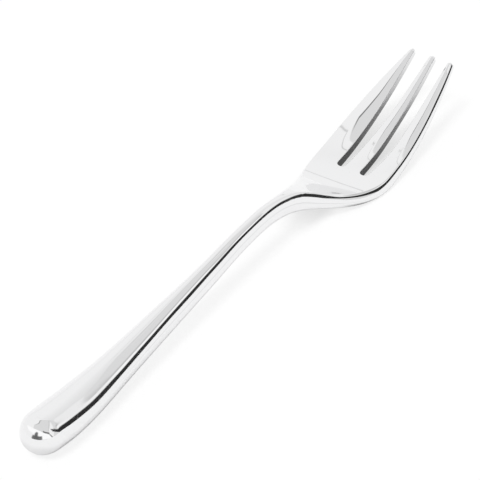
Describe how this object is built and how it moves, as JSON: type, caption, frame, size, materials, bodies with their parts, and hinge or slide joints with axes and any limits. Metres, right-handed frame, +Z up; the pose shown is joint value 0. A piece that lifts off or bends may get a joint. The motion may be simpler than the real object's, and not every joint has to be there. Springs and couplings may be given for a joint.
{
  "type": "pastry fork",
  "caption": "Slim polished steel pastry fork with a thick rounded grip, a raised neck, a dished head and a wide cutting tine beside narrower tines.",
  "frame": {"origin": "middle of the fork's bounding box, on the table plane that it rests on", "axes": "+Y runs from the grip to the tips of the tines, +Z up from the table, +X across to the side of the narrow outer tine"},
  "size_m": [0.0207, 0.1501, 0.0154],
  "materials": {
    "steel": "polished"
  },
  "bodies": {
    "root": {"handle": "steel", "neck": "steel", "head": "steel", "tine_left": "steel", "tine_centre": "steel", "tine_right": "steel"}
  },
  "joints": []
}
